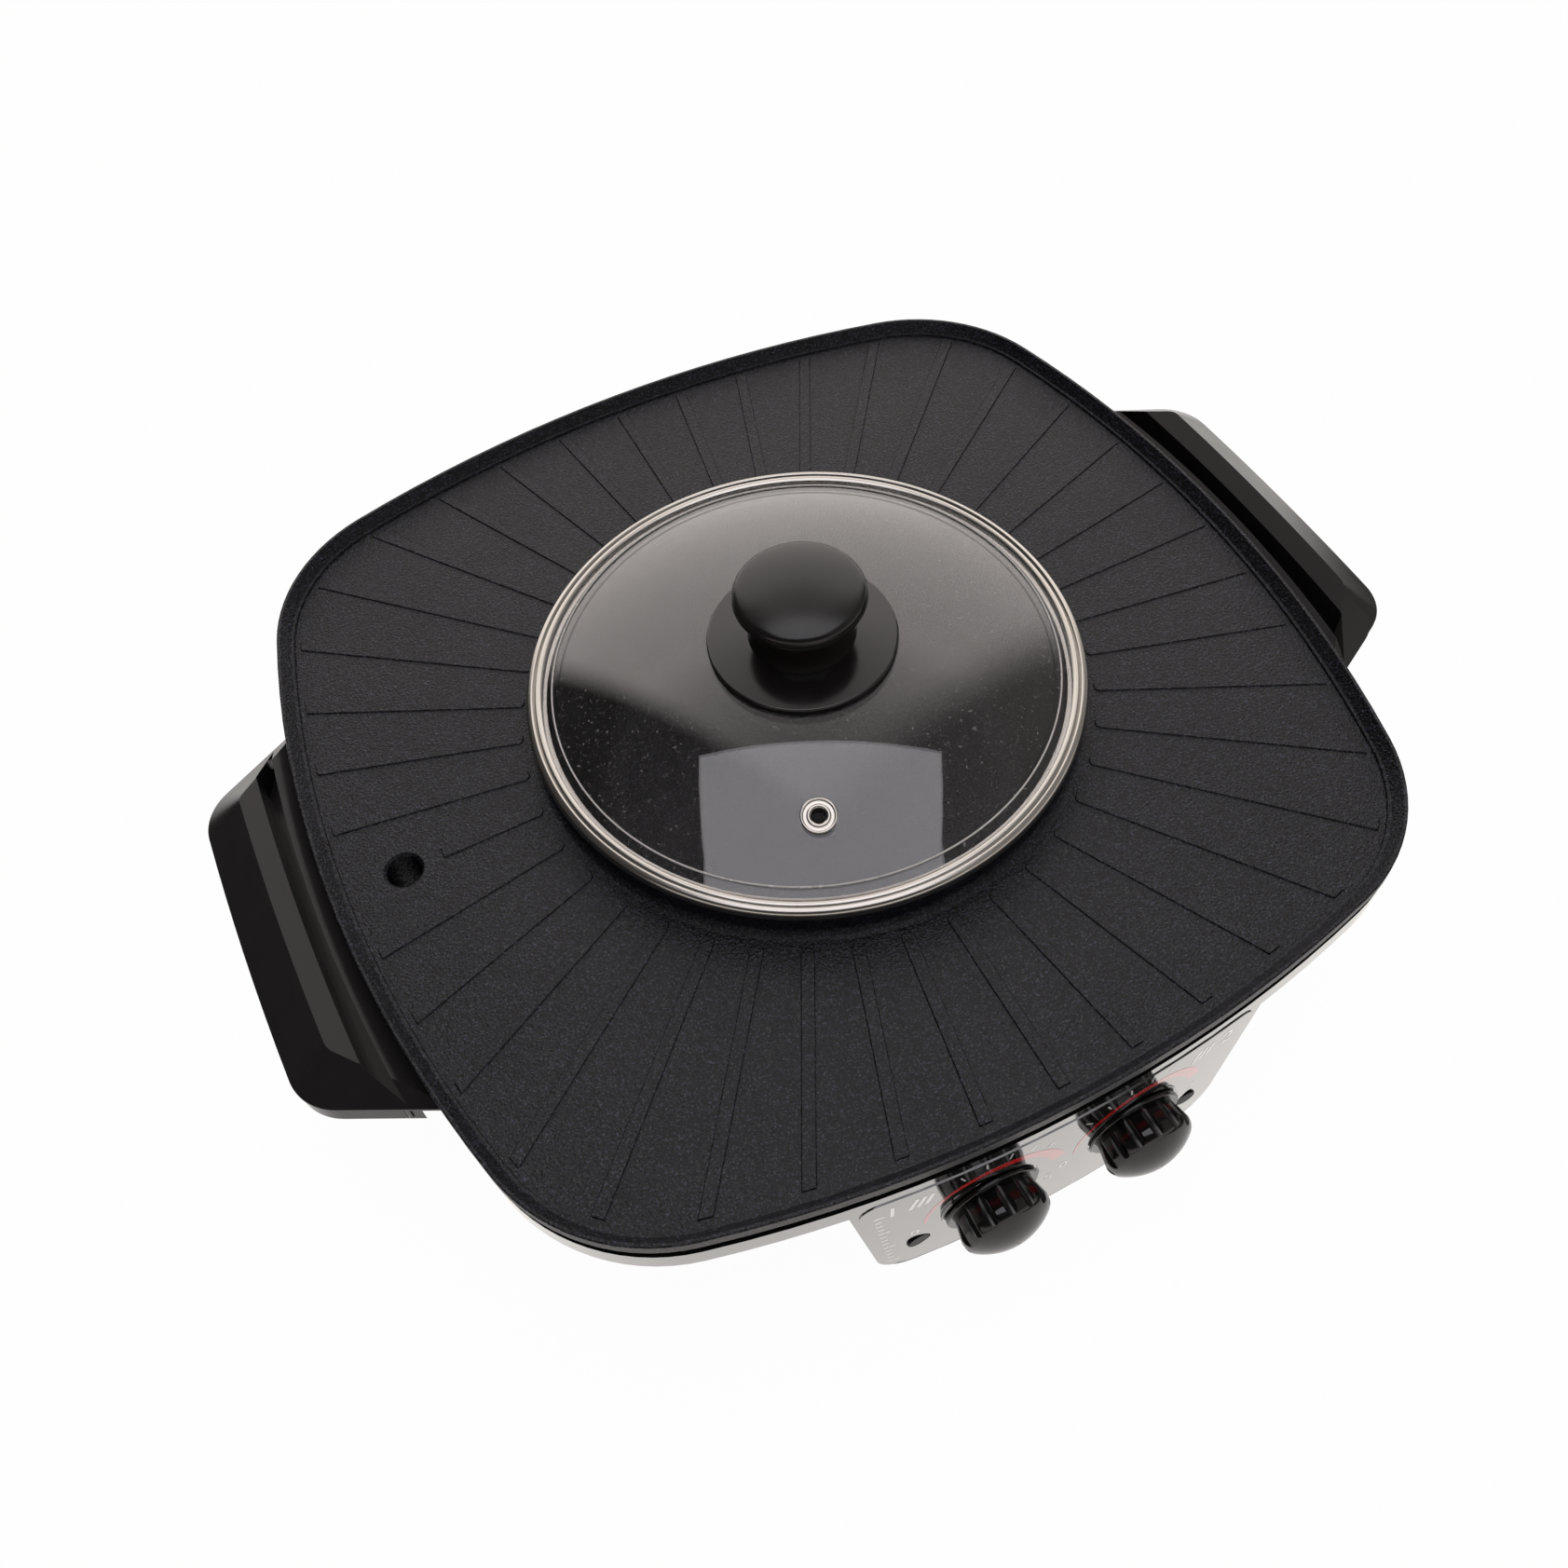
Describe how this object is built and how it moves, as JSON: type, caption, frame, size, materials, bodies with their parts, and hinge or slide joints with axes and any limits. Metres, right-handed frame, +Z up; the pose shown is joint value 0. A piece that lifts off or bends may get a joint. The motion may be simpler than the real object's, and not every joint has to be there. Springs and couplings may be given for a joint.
{
  "type": "electric hot pot",
  "caption": "Electric hot pot sunk into a ribbed non-stick grill plate, with a lift-off glass lid, side handles and rotary heat controls.",
  "frame": {"origin": "on the table, under the axis of the pot bowl", "axes": "+Z up, the controls face -Y, the side handles lie along X"},
  "size_m": [0.3864, 0.3514, 0.1359],
  "materials": {
    "nonstick_coating": "granular non-stick coating on cast aluminium",
    "black_gloss_plastic": "glossy black heat-proof plastic",
    "black_matte_plastic": "satin black plastic",
    "aluminium_sheet": "plain mill sheet",
    "screw_steel": "zinc-plated steel",
    "black_rubber": "black rubber",
    "panel_film": "glossy black film with red and white print",
    "lamp_lens": "dark smoked lens",
    "ceramic": "unglazed white ceramic",
    "heater_steel": "oxidised steel sheath",
    "brass_pins": "plated brass",
    "brown_lead": "brown silicone sleeve",
    "blue_lead": "blue silicone sleeve",
    "green_lead": "green and yellow silicone sleeve",
    "white_lead": "white glass-fibre sleeve",
    "lid_glass": "clear tempered glass",
    "stainless_steel": "polished stainless steel"
  },
  "bodies": {
    "base": {"grill_casting": "nonstick_coating", "base_shell": "black_gloss_plastic", "bottom_cover": "black_matte_plastic", "heat_shield": "aluminium_sheet", "case_screws": "screw_steel", "foot_front_left": "black_rubber", "foot_front_right": "black_rubber", "foot_rear_left": "black_rubber", "foot_rear_right": "black_rubber", "right_handle": "black_gloss_plastic", "left_handle": "black_gloss_plastic", "right_handle_cover": "black_gloss_plastic", "left_handle_cover": "black_gloss_plastic", "handle_screws": "screw_steel", "handle_cover_screws": "screw_steel", "panel_film": "panel_film", "pot_thermostat": "ceramic", "grill_thermostat": "ceramic", "pot_lamp": "lamp_lens", "grill_lamp": "lamp_lens", "thermostat_screws": "screw_steel", "pot_heater": "heater_steel", "grill_heater": "heater_steel", "heater_insulators": "ceramic", "heater_pins": "screw_steel", "thermal_fuse": "ceramic", "power_inlet": "black_matte_plastic", "inlet_pins": "brass_pins", "inlet_screws": "screw_steel", "terminal_block": "ceramic", "live_lead": "brown_lead", "neutral_lead": "blue_lead", "earth_lead": "green_lead", "control_leads": "white_lead", "heater_leads": "white_lead"},
    "lid": {"lid_glass": "lid_glass", "lid_rim": "stainless_steel", "lid_gasket": "black_rubber", "lid_disc": "black_matte_plastic", "lid_handle": "black_matte_plastic", "lid_washer": "screw_steel", "lid_screw": "screw_steel", "vent_eyelet": "stainless_steel"},
    "pot_dial": {"pot_knob": "black_gloss_plastic", "pot_control_shaft": "screw_steel"},
    "grill_dial": {"grill_knob": "black_gloss_plastic", "grill_control_shaft": "screw_steel"}
  },
  "joints": [
    {"name": "lid_lift", "type": "slide", "parent": "base", "child": "lid", "axis": [0, 0, 1], "range_m": [0, 0.15]},
    {"name": "pot_dial_turn", "type": "hinge", "parent": "base", "child": "pot_dial", "pos_m": [-0.0244, -0.1604, 0.0407], "axis": [0, 1, 0], "range_deg": [0, 270]},
    {"name": "grill_dial_turn", "type": "hinge", "parent": "base", "child": "grill_dial", "pos_m": [0.0244, -0.1604, 0.0407], "axis": [0, 1, 0], "range_deg": [0, 270]}
  ]
}
